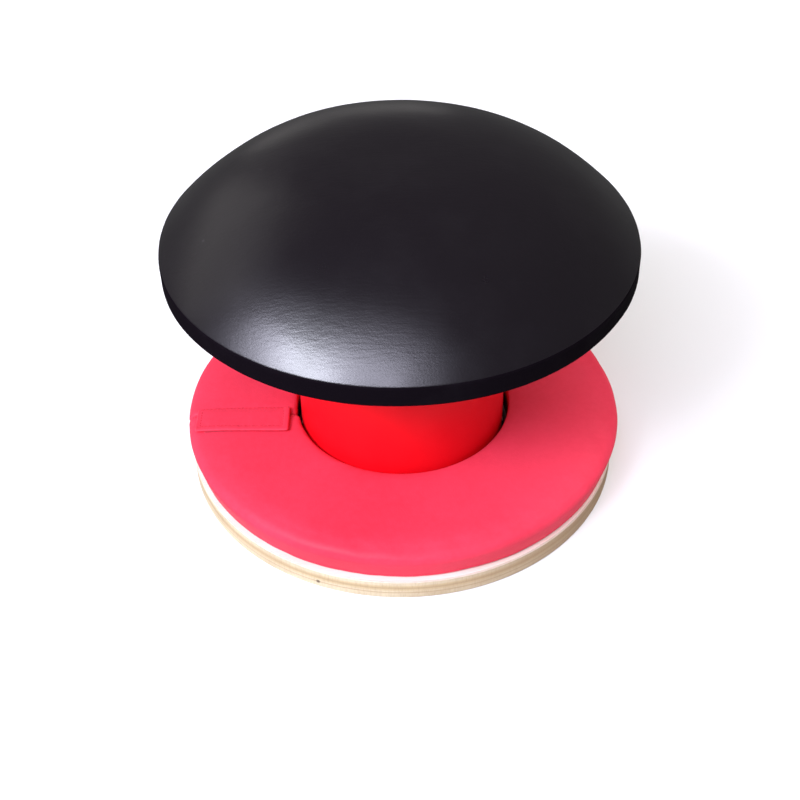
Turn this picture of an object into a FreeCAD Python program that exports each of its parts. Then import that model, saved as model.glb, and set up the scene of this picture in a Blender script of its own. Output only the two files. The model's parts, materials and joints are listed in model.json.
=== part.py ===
"""Spring-mounted wall punch pad: a domed, leather-covered target on a coil-sprung, foam-filled column.

The column stands on a round plywood backboard and is wrapped at its foot by a loose ring pad that opens
at a split, closed by a hook-and-loop flap. Units are millimetres, +Z points from the wall to the target,
and the origin is the centre of the backboard's rear face.
"""

import FreeCAD, Part
import math
import os

V = FreeCAD.Vector
UP = V(0, 0, 1)

# ---- driving dimensions -------------------------------------------------------------------------
BOARD_R = 179.0            # backboard radius
BOARD_T = 18.0             # backboard plywood thickness
COLUMN_R = 85.5            # outside of the column's vinyl sleeve
HEAD_R = 183.0             # outside of the target's edge band
HEAD_Z = 200.0             # underside of the target board
HEAD_BOARD_T = 15.0        # target board thickness
BAND_TOP = 215.5           # crease between the edge band and the dome
DOME_H = 67.0              # height of the dome above the crease
DOME_POWER = 3.0           # dome profile: height falls with (radius / rim radius) to this power
PAD_R = 181.0              # ring pad, widest radius
PAD_FOOT_R = 178.0         # ring pad radius at its underside
PAD_HOLE_R = 89.8          # ring pad hole
PAD_TOP = 46.5             # top of the ring pad
PAD_CENTRE = V(0.8, 3.3, 0)    # the loose ring pad sits a little off the column's axis
GAP = 0.3                  # clearance between pieces of different moving bodies

LEATHER_T = 1.3            # target cover
VINYL_T = 1.2              # sleeve and ring pad cover
LINING_T = 1.0             # rear cover of the target, underside of the ring pad

# ---- column -------------------------------------------------------------------------------------
PLUG_T = 15.0                          # plywood disc that the sleeve's foot is stapled to
PLUG_TOP = BOARD_T + PLUG_T
PLUG_R = COLUMN_R - VINYL_T - 0.1
PLATE_R = 56.0                         # steel spring plates
PLATE_T = 4.0
SPRING_WIRE_R = 4.5
SPRING_MEAN_R = 45.0
SPRING_PITCH = 22.7                    # of the open coils
SPRING_FLAT_DEG = 210.0                # each end lies flat on its plate for this much of a turn
FOAM_R = PLUG_R - 0.4                  # foam rings between the spring and the sleeve
FOAM_BORE_R = 58.0
BEND_1 = 78.0                          # the foam is cut here and at BEND_2 into three rings
BEND_2 = 138.0

# ---- fasteners ----------------------------------------------------------------------------------
BOLT_R = 4.0                           # M8 bolts that clamp the spring plates
BOLT_HOLE_R = 4.3
BOLT_CIRCLE_R = 28.0
BOLT_ANGLES = [10.0, 100.0, 190.0, 280.0]
CLAMP_ANGLES = BOLT_ANGLES[1:3]        # both ends of the coil lie flat at these two
CLAMP_T = 3.0
CLAMP_W = 18.0
NUT_FLATS = 13.0
NUT_T = 8.0
HEAD_T = 5.3                           # bolt head
WASHER_R = 8.0
WASHER_T = 1.6
RECESS_R = 10.0                        # rear recess for a bolt head and its washer
RECESS_T = 8.0
ANCHOR_HOLE_R = 5.0                    # holes for the wall anchors
ANCHOR_CIRCLE_R = 150.0
ANCHOR_ANGLES = [45.0, 135.0, 225.0, 315.0]
PLUG_SCREW_R = 2.0
PLUG_SCREW_CIRCLE_R = 70.0
PLUG_SCREW_COUNT = 6
STAPLE_CROWN = 10.0                    # upholstery staples
STAPLE_WIRE = 0.7
STAPLE_LEG = 8.0

# ---- ring pad closure ---------------------------------------------------------------------------
SPLIT_Y = -14.0                        # the pad's split runs outwards along -X at this Y
SPLIT_GAP = 1.5
FLAP_X = (-172.0, -94.0)
FLAP_Y = (-39.0, -9.0)                 # sewn along the far edge, peels from the near one
FLAP_T = 1.8
TAPE_X = (-164.0, -101.0)
TAPE_Y = (-37.5, -17.5)
TAPE_T = 1.2

# ---- target -------------------------------------------------------------------------------------
EDGE_FOAM_T = 2.5
FIRM_FOAM_R = 158.0
FIRM_FOAM_T = 18.0
HEM_R = 158.0                          # the cover's hem is turned under the board to here
REAR_COVER_R = 170.0
REAR_COVER_HOLE_R = 95.0               # clears the sleeve flange's staples
REAR_STAPLE_CIRCLE_R = 164.0
REAR_STAPLE_COUNT = 36
SLEEVE_FLANGE_R = 100.0
SLEEVE_STAPLE_CIRCLE_R = 93.0
SLEEVE_STAPLE_COUNT = 20


# ---- shared shapes ------------------------------------------------------------------------------
def disc(radius, z0, z1, x=0.0):
    return Part.makeCylinder(radius, z1 - z0, V(x, 0, z0))


def ring(outer_r, inner_r, z0, z1):
    return disc(outer_r, z0, z1).cut(disc(inner_r, z0 - 1, z1 + 1))


def block(x_range, y_range, z_range):
    size = [end[1] - end[0] for end in (x_range, y_range, z_range)]
    return Part.makeBox(*size, V(x_range[0], y_range[0], z_range[0]))


def turned(shape, degrees):
    """A copy of the shape turned about the column's axis."""
    copy = shape.copy()
    copy.rotate(V(0, 0, 0), UP, degrees)
    return copy


def around(shape, angles):
    return [turned(shape, angle) for angle in angles]


def even_angles(count, first=0.0):
    return [first + 360.0 * i / count for i in range(count)]


def drill(shape, radius, circle_r, angles, z0, z1):
    """Holes along Z, on a circle about the axis."""
    return shape.cut(around(disc(radius, z0, z1, x=circle_r), angles))


def hexagon(flats, z0, z1, x):
    corner_r = flats / math.sqrt(3.0)
    angles = [math.radians(60 * i) for i in range(7)]
    corners = [V(x + corner_r * math.cos(a), corner_r * math.sin(a), z0) for a in angles]
    return Part.Face(Part.makePolygon(corners)).extrude(V(0, 0, z1 - z0))


def chamfer_rim(shape, z_levels, radius, size):
    """Break the round outer edges that lie at these heights."""
    rims = [e for e in shape.Edges
            if isinstance(e.Curve, Part.Circle) and abs(e.Curve.Radius - radius) < 1e-6
            and any(abs(e.Curve.Center.z - z) < 1e-6 for z in z_levels)]
    return shape.makeChamfer(size, rims)


def revolved(edges):
    """A solid of revolution about Z from edges in the XZ plane that close on themselves."""
    face = Part.Face(Part.Wire(edges))
    return face.revolve(V(0, 0, 0), UP, 360)


def staple(circle_r, z_seat):
    """One staple driven upwards on the +X side; its crown lies along the tangent, under z_seat."""
    half = STAPLE_CROWN / 2
    x_range = (circle_r - STAPLE_WIRE, circle_r + STAPLE_WIRE)
    crown = block(x_range, (-half, half), (z_seat - STAPLE_WIRE, z_seat))
    legs = [block(x_range, (y, y + STAPLE_WIRE), (z_seat - STAPLE_WIRE / 2, z_seat + STAPLE_LEG))
            for y in (-half, half - STAPLE_WIRE)]
    return crown.fuse(legs).removeSplitter()


def export(node, shapes):
    """Write one node: a single solid, or identical pieces as a group of separate solids."""
    solids = shapes if isinstance(shapes, list) else [shapes]
    shape = solids[0] if len(solids) == 1 else Part.makeCompound(solids)
    shape.exportStep(os.path.join("parts", node + ".step"))


# ---- backboard and column foot ------------------------------------------------------------------
def backboard():
    board = chamfer_rim(disc(BOARD_R, 0, BOARD_T), (0, BOARD_T), BOARD_R, 1.0)
    board = drill(board, ANCHOR_HOLE_R, ANCHOR_CIRCLE_R, ANCHOR_ANGLES, -1, BOARD_T + 1)
    board = drill(board, BOLT_HOLE_R, BOLT_CIRCLE_R, BOLT_ANGLES, -1, BOARD_T + 1)
    return drill(board, RECESS_R, BOLT_CIRCLE_R, BOLT_ANGLES, -1, RECESS_T)


def column_plug():
    return drill(disc(PLUG_R, BOARD_T, PLUG_TOP), BOLT_HOLE_R, BOLT_CIRCLE_R, BOLT_ANGLES,
                 BOARD_T - 1, PLUG_TOP + 1)


def plug_screws():
    """Countersunk wood screws that hold the plug to the backboard."""
    length = PLUG_T + 12.0
    head_h = 2.2
    shank = disc(PLUG_SCREW_R, PLUG_TOP - length, PLUG_TOP, x=PLUG_SCREW_CIRCLE_R)
    head_foot = V(PLUG_SCREW_CIRCLE_R, 0, PLUG_TOP - head_h)
    head = Part.makeCone(PLUG_SCREW_R, 2 * PLUG_SCREW_R, head_h, head_foot)
    return around(shank.fuse(head).removeSplitter(), even_angles(PLUG_SCREW_COUNT, 25))


def sleeve_foot_staples():
    """Staples driven radially through the sleeve into the plug's edge."""
    half = STAPLE_CROWN / 2
    z_mid = BOARD_T + PLUG_T / 2
    z_range = (z_mid - STAPLE_WIRE, z_mid + STAPLE_WIRE)
    face = COLUMN_R - 0.2
    crown = block((face, face + STAPLE_WIRE), (-half, half), z_range)
    legs = [block((face - STAPLE_LEG, face + STAPLE_WIRE / 2), (y, y + STAPLE_WIRE), z_range)
            for y in (-half, half - STAPLE_WIRE)]
    return around(crown.fuse(legs).removeSplitter(), even_angles(SLEEVE_STAPLE_COUNT))


def spring_plate(z0):
    return drill(disc(PLATE_R, z0, z0 + PLATE_T), BOLT_HOLE_R, BOLT_CIRCLE_R, BOLT_ANGLES,
                 z0 - 1, z0 + PLATE_T + 1)


def clamp():
    """A cranked strap on a plate whose face is Z = 0: foot on the plate, nose over the end coil."""
    nose_z = 2 * SPRING_WIRE_R + GAP
    coil_inner_r = SPRING_MEAN_R - SPRING_WIRE_R - GAP
    riser_x = math.sqrt(coil_inner_r ** 2 - (CLAMP_W / 2) ** 2) - CLAMP_T
    foot = block((BOLT_CIRCLE_R - 9, riser_x + CLAMP_T), (-CLAMP_W / 2, CLAMP_W / 2), (0, CLAMP_T))
    riser = block((riser_x, riser_x + CLAMP_T), (-CLAMP_W / 2, CLAMP_W / 2), (0, nose_z + CLAMP_T))
    nose = block((riser_x, PLATE_R - 4), (-CLAMP_W / 2, CLAMP_W / 2), (nose_z, nose_z + CLAMP_T))
    hole = disc(BOLT_HOLE_R, -1, CLAMP_T + 1, x=BOLT_CIRCLE_R)
    return foot.fuse([riser, nose]).removeSplitter().cut(hole)


def spring_clamps(plate_face, upside_down=False):
    strap = clamp()
    if upside_down:
        strap.rotate(V(0, 0, 0), V(1, 0, 0), 180)
    strap.translate(V(0, 0, plate_face))
    return around(strap, CLAMP_ANGLES)


def seat_height(angle):
    """How far above its plate a nut or bolt head sits: on a clamp's foot, or on the bare plate."""
    return CLAMP_T if angle in CLAMP_ANGLES else 0.0


def lower_plate_bolts():
    """Bolts up through backboard, plug, plate and clamp, with their heads in the rear recesses."""
    seat = RECESS_T - WASHER_T
    head = hexagon(NUT_FLATS, seat - HEAD_T, seat, BOLT_CIRCLE_R)
    shank = disc(BOLT_R, seat - 1, PLUG_TOP + PLATE_T + CLAMP_T + NUT_T + 2, x=BOLT_CIRCLE_R)
    return around(head.fuse(shank).removeSplitter(), BOLT_ANGLES)


def lower_bolt_washers():
    washer = disc(WASHER_R, RECESS_T - WASHER_T, RECESS_T, x=BOLT_CIRCLE_R)
    return around(washer.cut(disc(BOLT_HOLE_R, 0, BOARD_T, x=BOLT_CIRCLE_R)), BOLT_ANGLES)


def lower_plate_nuts():
    nuts = []
    for angle in BOLT_ANGLES:
        z0 = PLUG_TOP + PLATE_T + seat_height(angle)
        nut = hexagon(NUT_FLATS, z0, z0 + NUT_T, BOLT_CIRCLE_R)
        nuts.append(turned(nut.cut(disc(BOLT_R + 0.02, z0 - 1, z0 + NUT_T + 1, x=BOLT_CIRCLE_R)), angle))
    return nuts


# ---- spring, foam and sleeve --------------------------------------------------------------------
def main_spring():
    """Flat end coil, open helix, flat end coil, swept along one path."""
    z_low = PLUG_TOP + PLATE_T + SPRING_WIRE_R
    z_high = HEAD_Z - PLATE_T - SPRING_WIRE_R
    rise = z_high - z_low
    helix = Part.makeHelix(SPRING_PITCH, rise, SPRING_MEAN_R)
    helix.translate(V(0, 0, z_low))
    last_deg = 360.0 * rise / SPRING_PITCH % 360
    low_end = Part.makeCircle(SPRING_MEAN_R, V(0, 0, z_low), UP, 360 - SPRING_FLAT_DEG, 360)
    high_end = Part.makeCircle(SPRING_MEAN_R, V(0, 0, z_high), UP, last_deg, last_deg + SPRING_FLAT_DEG)
    path = Part.Wire(Part.__sortEdges__([low_end] + helix.Edges + [high_end]))
    start = low_end.valueAt(low_end.FirstParameter)
    section = Part.Wire(Part.makeCircle(SPRING_WIRE_R, start, low_end.tangentAt(low_end.FirstParameter)))
    return turned(path.makePipeShell([section], True, True), SPRING_FLAT_DEG)


def foam_ring(z0, z1):
    return ring(FOAM_R, FOAM_BORE_R, z0, z1)


def column_sleeve():
    """The vinyl tube, with a flange turned out under the target board."""
    tube = ring(COLUMN_R, COLUMN_R - VINYL_T, BOARD_T + 0.1, HEAD_Z - GAP)
    flange = ring(SLEEVE_FLANGE_R, COLUMN_R - VINYL_T, HEAD_Z - GAP - VINYL_T, HEAD_Z - GAP)
    return tube.fuse(flange).removeSplitter().cut(staple_leg_slots())


def staple_leg_slots():
    """The pierced slots in the sleeve's flange, one pair for each staple."""
    half = STAPLE_CROWN / 2
    x_range = (SLEEVE_STAPLE_CIRCLE_R - 1.1, SLEEVE_STAPLE_CIRCLE_R + 1.1)
    slots = [block(x_range, (y - 0.4, y + STAPLE_WIRE + 0.4), (HEAD_Z - 4, HEAD_Z))
             for y in (-half, half - STAPLE_WIRE)]
    return [slot for pair in (around(s, even_angles(SLEEVE_STAPLE_COUNT)) for s in slots) for slot in pair]


# ---- ring pad -----------------------------------------------------------------------------------
def pad_solid(inset, z_foot):
    """The ring pad's outer form, drawn in by inset: leaning side, rounded rims, straight hole."""
    rim_r = 10.0 - inset
    top = PAD_TOP - inset
    wide = PAD_R - inset
    foot = PAD_FOOT_R - inset
    hole = PAD_HOLE_R + inset
    inner_rim_r = 3.5 - inset
    bend = math.sqrt(0.5)
    outer_arc = Part.Arc(V(wide, 0, top - rim_r), V(wide - rim_r * (1 - bend), 0, top - rim_r * (1 - bend)),
                         V(wide - rim_r, 0, top))
    inner_arc = Part.Arc(V(hole + inner_rim_r, 0, top),
                         V(hole + inner_rim_r * (1 - bend), 0, top - inner_rim_r * (1 - bend)),
                         V(hole, 0, top - inner_rim_r))
    edges = [Part.makeLine(V(hole, 0, z_foot), V(foot, 0, z_foot)),
             Part.makeLine(V(foot, 0, z_foot), V(wide, 0, top - rim_r)),
             outer_arc.toShape(),
             Part.makeLine(V(wide - rim_r, 0, top), V(hole + inner_rim_r, 0, top)),
             inner_arc.toShape(),
             Part.makeLine(V(hole, 0, top - inner_rim_r), V(hole, 0, z_foot))]
    solid = revolved(edges)
    solid.translate(PAD_CENTRE)
    return solid


def split_cut(margin):
    """The space of the pad's split, widened by margin on each side."""
    half = SPLIT_GAP / 2 + margin
    return block((-PAD_R - 10, -PAD_HOLE_R + 30), (SPLIT_Y - half, SPLIT_Y + half), (0, PAD_TOP + 5))


def tape_pocket():
    """A pocket in the pad's top that lets the two tapes close flush under the flap."""
    return block((TAPE_X[0] - 1, TAPE_X[1] + 1), (TAPE_Y[0] - 1.5, TAPE_Y[1] + 1.5),
                 (PAD_TOP - 2 * TAPE_T - 0.1, PAD_TOP + 5))


def pad_underside():
    panel = ring(PAD_FOOT_R - VINYL_T - 0.2, PAD_HOLE_R + VINYL_T + 0.2, BOARD_T + GAP, BOARD_T + GAP + LINING_T)
    panel.translate(PAD_CENTRE)
    return panel.cut(split_cut(VINYL_T + 0.2))


def pad_foam():
    return pad_solid(VINYL_T, BOARD_T + GAP + LINING_T).cut(split_cut(VINYL_T)).cut(tape_pocket())


def pad_cover():
    outside = pad_solid(0, BOARD_T + GAP).cut(split_cut(0))
    inside = pad_solid(VINYL_T, BOARD_T + GAP - 1).cut(split_cut(VINYL_T))
    return outside.cut(inside).cut(tape_pocket())


def loop_strip():
    z0 = PAD_TOP - 2 * TAPE_T - 0.1
    return block(TAPE_X, TAPE_Y, (z0, z0 + TAPE_T))


def hook_strip():
    return block(TAPE_X, TAPE_Y, (PAD_TOP + GAP - TAPE_T, PAD_TOP + GAP))


def closure_flap():
    strap = block(FLAP_X, FLAP_Y, (PAD_TOP + GAP, PAD_TOP + GAP + FLAP_T))
    corners = [e for e in strap.Edges if abs(e.tangentAt(e.FirstParameter).z) > 0.9]
    return strap.makeFillet(3.0, corners)


# ---- target -------------------------------------------------------------------------------------
def dome_solid(inset, z_foot):
    """The domed head drawn in by inset: straight band up to the crease, dome by formula above it."""
    rim = HEAD_R - inset
    crease = BAND_TOP - 0.4 * inset
    height = DOME_H - 0.6 * inset
    steps = 8
    shares = [i / steps for i in range(steps, -1, -1)]
    points = [V(rim * s, 0, crease + height * (1 - s ** DOME_POWER)) for s in shares]
    profile = Part.BSplineCurve()
    profile.interpolate(points)
    edges = [Part.makeLine(V(0, 0, z_foot), V(rim, 0, z_foot)),
             Part.makeLine(V(rim, 0, z_foot), points[0]),
             profile.toShape(),
             Part.makeLine(points[-1], V(0, 0, z_foot))]
    return revolved(edges)


def target_board():
    board = disc(HEAD_R - LEATHER_T - EDGE_FOAM_T, HEAD_Z, HEAD_Z + HEAD_BOARD_T)
    board = drill(board, BOLT_HOLE_R + 1.2, BOLT_CIRCLE_R, BOLT_ANGLES, HEAD_Z - 1, HEAD_Z + HEAD_BOARD_T + 1)
    return drill(board, 11.2, BOLT_CIRCLE_R, BOLT_ANGLES, HEAD_Z + HEAD_BOARD_T - 1.7, HEAD_Z + HEAD_BOARD_T + 1)


def upper_plate_bolts():
    """Bolts up through clamp, plate and target board into the tee nuts."""
    bolts = []
    for angle in BOLT_ANGLES:
        seat = HEAD_Z - PLATE_T - seat_height(angle)
        head = hexagon(NUT_FLATS, seat - HEAD_T, seat, BOLT_CIRCLE_R)
        shank = disc(BOLT_R, seat - 1, HEAD_Z + HEAD_BOARD_T - 0.5, x=BOLT_CIRCLE_R)
        bolts.append(turned(head.fuse(shank).removeSplitter(), angle))
    return bolts


def upper_tee_nuts():
    top = HEAD_Z + HEAD_BOARD_T
    flange = disc(11.0, top - 1.6, top - 0.1, x=BOLT_CIRCLE_R)
    barrel = disc(BOLT_R + 1.4, top - 11, top - 1, x=BOLT_CIRCLE_R)
    bore = disc(BOLT_R + 0.02, HEAD_Z - 1, top + 1, x=BOLT_CIRCLE_R)
    return around(flange.fuse(barrel).removeSplitter().cut(bore), BOLT_ANGLES)


def edge_padding():
    return ring(HEAD_R - LEATHER_T, HEAD_R - LEATHER_T - EDGE_FOAM_T, HEAD_Z, HEAD_Z + HEAD_BOARD_T)


def firm_foam_disc():
    return disc(FIRM_FOAM_R, HEAD_Z + HEAD_BOARD_T, HEAD_Z + HEAD_BOARD_T + FIRM_FOAM_T)


def dome_foam():
    foot = HEAD_Z + HEAD_BOARD_T
    return dome_solid(LEATHER_T, foot).cut(disc(FIRM_FOAM_R, foot - 1, foot + FIRM_FOAM_T))


def head_cover():
    """One piece of leather over dome and edge, turned under the board as a hem."""
    hem_z = HEAD_Z - LEATHER_T
    shell = dome_solid(0, hem_z).cut(dome_solid(LEATHER_T, HEAD_Z))
    return shell.cut(disc(HEM_R, hem_z - 1, HEAD_Z + 1))


def rear_cover():
    z1 = HEAD_Z - LEATHER_T - GAP
    return ring(REAR_COVER_R, REAR_COVER_HOLE_R, z1 - LINING_T, z1)


def rear_staples():
    seat = HEAD_Z - LEATHER_T - GAP - LINING_T
    return around(staple(REAR_STAPLE_CIRCLE_R, seat), even_angles(REAR_STAPLE_COUNT, 5))


def sleeve_head_staples():
    """Staples that hold the sleeve's flange; their crowns lie just under it."""
    return around(staple(SLEEVE_STAPLE_CIRCLE_R, HEAD_Z - GAP - VINYL_T), even_angles(SLEEVE_STAPLE_COUNT))


def main():
    os.makedirs("parts", exist_ok=True)
    screws = plug_screws()
    lower_plate = PLUG_TOP
    upper_plate = HEAD_Z - PLATE_T
    export("backboard", backboard().cut(screws))
    export("column_plug", column_plug().cut(screws))
    export("plug_screws", screws)
    export("lower_spring_plate", spring_plate(lower_plate))
    export("lower_spring_clamps", spring_clamps(lower_plate + PLATE_T))
    export("lower_plate_bolts", lower_plate_bolts())
    export("lower_bolt_washers", lower_bolt_washers())
    export("lower_plate_nuts", lower_plate_nuts())
    export("main_spring", main_spring())
    export("foam_lower", foam_ring(PLUG_TOP, BEND_1 - GAP / 2))
    export("foam_middle", foam_ring(BEND_1 + GAP / 2, BEND_2 - GAP / 2))
    export("foam_upper", foam_ring(BEND_2 + GAP / 2, HEAD_Z - GAP - VINYL_T))
    export("column_sleeve", column_sleeve())
    export("sleeve_foot_staples", sleeve_foot_staples())
    export("pad_underside", pad_underside())
    export("pad_foam", pad_foam())
    export("pad_cover", pad_cover())
    export("loop_strip", loop_strip())
    export("hook_strip", hook_strip())
    export("closure_flap", closure_flap())
    export("target_board", target_board())
    export("upper_spring_plate", spring_plate(upper_plate))
    export("upper_spring_clamps", spring_clamps(upper_plate, upside_down=True))
    export("upper_plate_bolts", upper_plate_bolts())
    export("upper_tee_nuts", upper_tee_nuts())
    export("edge_padding", edge_padding())
    export("firm_foam_disc", firm_foam_disc())
    export("dome_foam", dome_foam())
    export("head_cover", head_cover())
    export("rear_cover", rear_cover())
    export("rear_staples", rear_staples())
    export("sleeve_head_staples", sleeve_head_staples())


main()
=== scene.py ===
"""Looks of the spring-mounted wall punch pad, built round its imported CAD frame. Units are metres."""

import bpy
import json
import math
import numpy as np
from mathutils import Matrix, Vector, noise
from mathutils.bvhtree import BVHTree
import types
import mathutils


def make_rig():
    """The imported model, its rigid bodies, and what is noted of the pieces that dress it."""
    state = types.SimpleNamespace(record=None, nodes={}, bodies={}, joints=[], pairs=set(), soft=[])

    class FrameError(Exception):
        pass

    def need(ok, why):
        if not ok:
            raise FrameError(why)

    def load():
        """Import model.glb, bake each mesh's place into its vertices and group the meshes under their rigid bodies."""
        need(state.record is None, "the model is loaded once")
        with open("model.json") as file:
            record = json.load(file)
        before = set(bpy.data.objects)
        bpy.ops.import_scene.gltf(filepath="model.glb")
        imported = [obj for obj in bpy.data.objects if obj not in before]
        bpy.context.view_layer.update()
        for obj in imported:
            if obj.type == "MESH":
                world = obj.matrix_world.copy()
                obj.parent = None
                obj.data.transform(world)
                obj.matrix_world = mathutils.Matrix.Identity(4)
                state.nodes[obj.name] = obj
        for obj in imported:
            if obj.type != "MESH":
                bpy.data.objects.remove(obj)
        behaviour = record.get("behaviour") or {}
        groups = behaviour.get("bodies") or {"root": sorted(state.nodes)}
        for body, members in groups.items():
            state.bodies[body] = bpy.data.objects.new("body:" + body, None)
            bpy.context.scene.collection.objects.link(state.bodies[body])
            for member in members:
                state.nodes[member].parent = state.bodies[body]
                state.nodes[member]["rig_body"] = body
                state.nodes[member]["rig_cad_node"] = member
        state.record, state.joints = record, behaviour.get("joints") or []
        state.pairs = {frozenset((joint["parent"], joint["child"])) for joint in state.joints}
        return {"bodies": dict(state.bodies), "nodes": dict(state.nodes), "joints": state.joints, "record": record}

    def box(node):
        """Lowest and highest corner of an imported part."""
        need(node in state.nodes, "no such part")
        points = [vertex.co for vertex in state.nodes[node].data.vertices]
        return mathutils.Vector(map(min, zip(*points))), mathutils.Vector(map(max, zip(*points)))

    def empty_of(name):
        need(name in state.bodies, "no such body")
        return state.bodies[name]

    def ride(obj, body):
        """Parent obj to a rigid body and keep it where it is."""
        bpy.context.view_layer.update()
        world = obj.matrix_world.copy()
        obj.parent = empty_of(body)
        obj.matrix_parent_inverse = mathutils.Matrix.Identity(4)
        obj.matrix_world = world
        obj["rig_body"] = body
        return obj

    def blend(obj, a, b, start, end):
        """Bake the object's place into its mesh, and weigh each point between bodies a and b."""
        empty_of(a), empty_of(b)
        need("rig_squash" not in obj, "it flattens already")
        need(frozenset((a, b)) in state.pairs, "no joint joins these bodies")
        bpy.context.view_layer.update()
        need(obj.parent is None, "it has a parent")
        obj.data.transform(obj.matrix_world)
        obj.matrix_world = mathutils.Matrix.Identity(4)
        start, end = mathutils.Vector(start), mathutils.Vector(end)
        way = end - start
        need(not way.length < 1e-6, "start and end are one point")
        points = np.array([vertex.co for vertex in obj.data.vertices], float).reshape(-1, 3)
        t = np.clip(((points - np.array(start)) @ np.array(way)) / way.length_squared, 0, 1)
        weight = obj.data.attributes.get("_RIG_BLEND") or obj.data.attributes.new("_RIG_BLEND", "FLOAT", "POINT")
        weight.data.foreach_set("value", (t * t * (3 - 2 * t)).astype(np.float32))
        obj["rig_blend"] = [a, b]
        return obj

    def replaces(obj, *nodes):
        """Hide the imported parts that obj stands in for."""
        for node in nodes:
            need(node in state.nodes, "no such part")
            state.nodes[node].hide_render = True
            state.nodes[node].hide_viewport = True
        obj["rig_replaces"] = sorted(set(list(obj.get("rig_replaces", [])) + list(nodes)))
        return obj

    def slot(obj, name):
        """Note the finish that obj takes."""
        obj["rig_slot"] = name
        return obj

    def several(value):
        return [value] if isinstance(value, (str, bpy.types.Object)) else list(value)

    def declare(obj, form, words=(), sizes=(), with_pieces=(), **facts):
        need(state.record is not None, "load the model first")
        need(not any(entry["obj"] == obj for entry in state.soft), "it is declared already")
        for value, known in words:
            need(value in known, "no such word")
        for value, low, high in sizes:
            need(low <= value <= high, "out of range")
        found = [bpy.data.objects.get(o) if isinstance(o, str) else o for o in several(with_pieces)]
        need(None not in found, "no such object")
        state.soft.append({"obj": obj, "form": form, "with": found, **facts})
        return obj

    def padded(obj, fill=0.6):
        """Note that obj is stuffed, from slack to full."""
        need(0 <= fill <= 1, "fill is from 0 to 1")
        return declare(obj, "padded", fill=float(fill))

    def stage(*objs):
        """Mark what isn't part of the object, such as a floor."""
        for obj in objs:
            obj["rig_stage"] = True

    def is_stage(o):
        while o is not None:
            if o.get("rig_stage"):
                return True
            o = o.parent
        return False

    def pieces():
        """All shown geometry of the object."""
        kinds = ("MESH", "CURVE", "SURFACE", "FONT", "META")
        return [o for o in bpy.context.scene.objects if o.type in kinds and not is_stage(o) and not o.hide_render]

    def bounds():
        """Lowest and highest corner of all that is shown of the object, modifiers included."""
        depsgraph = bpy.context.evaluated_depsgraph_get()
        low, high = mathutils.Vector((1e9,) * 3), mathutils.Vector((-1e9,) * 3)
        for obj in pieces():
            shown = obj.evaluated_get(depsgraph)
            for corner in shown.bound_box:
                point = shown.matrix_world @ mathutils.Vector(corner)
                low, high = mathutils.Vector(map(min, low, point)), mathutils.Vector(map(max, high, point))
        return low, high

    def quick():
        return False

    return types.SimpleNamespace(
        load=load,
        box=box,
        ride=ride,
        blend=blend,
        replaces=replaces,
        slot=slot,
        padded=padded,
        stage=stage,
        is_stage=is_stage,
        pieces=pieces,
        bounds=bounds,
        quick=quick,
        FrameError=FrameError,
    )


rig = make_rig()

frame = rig.load()
CAD_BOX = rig.bounds()

MM = 0.001
TURN = 2 * math.pi

# ---- places and sizes read from the frame -------------------------------------------------------
BOARD_LOW, BOARD_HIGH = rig.box("backboard")
HEAD_LOW, HEAD_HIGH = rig.box("head_cover")
TARGET_BOARD_LOW, TARGET_BOARD_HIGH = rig.box("target_board")
PLUG_LOW, PLUG_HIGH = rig.box("column_plug")
SLEEVE_LOW, SLEEVE_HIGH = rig.box("column_sleeve")
PAD_LOW, PAD_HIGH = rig.box("pad_cover")
FLAP_LOW, FLAP_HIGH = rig.box("closure_flap")
SPRING_LOW, SPRING_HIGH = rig.box("main_spring")
FOAM_LOW, FOAM_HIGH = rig.box("foam_lower")[0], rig.box("foam_upper")[1]
LINING_LOW, LINING_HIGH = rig.box("rear_cover")
BEND_1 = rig.box("foam_middle")[0].z - 0.15 * MM      # the column is cut here and at BEND_2
BEND_2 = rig.box("foam_middle")[1].z + 0.15 * MM

# ---- sizes that a box can't give, as in the CAD ---------------------------------------------------
HEAD_R = HEAD_HIGH.x
CREASE_Z = TARGET_BOARD_HIGH.z + 0.5 * MM
DOME_H = HEAD_HIGH.z - CREASE_Z
DOME_POWER = 3.0
HEM_R = 158 * MM
COLUMN_R = PLUG_HIGH.x + 1.3 * MM
PAD_CENTRE = (PAD_LOW + PAD_HIGH) / 2
PAD_R = (PAD_HIGH.x - PAD_LOW.x) / 2
PAD_FOOT_R = PAD_R - 3 * MM
PAD_HOLE_R = 89.8 * MM
SPLIT_Y = -14 * MM
SPLIT_GAP = 1.5 * MM
LINING_HOLE_R = 95 * MM
STAPLE_COUNT = 36
WIRE_R = 4.5 * MM
SPRING_MEAN_R = SPRING_HIGH.x - WIRE_R
SPRING_PITCH = 22.7 * MM
SPRING_FLAT = math.radians(210)


# ---- meshes -------------------------------------------------------------------------------------
def add_mesh(name, points, faces, material, smooth=True):
    mesh = bpy.data.meshes.new(name)
    mesh.from_pydata([tuple(p) for p in points], [], faces)
    mesh.validate()
    mesh.polygons.foreach_set("use_smooth", [smooth] * len(mesh.polygons))
    mesh.materials.append(material)
    mesh.update()
    piece = bpy.data.objects.new(name, mesh)
    bpy.context.scene.collection.objects.link(piece)
    return piece


def grid_faces(rows, columns, wrap_rows=False, wrap_columns=False, first=0):
    """Quads over a grid of points stored row by row."""
    faces = []
    for i in range(rows if wrap_rows else rows - 1):
        for j in range(columns if wrap_columns else columns - 1):
            a, b = i * columns + j, i * columns + (j + 1) % columns
            c, d = (i + 1) % rows * columns + (j + 1) % columns, (i + 1) % rows * columns + j
            faces.append([first + a, first + b, first + c, first + d])
    return faces


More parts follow.
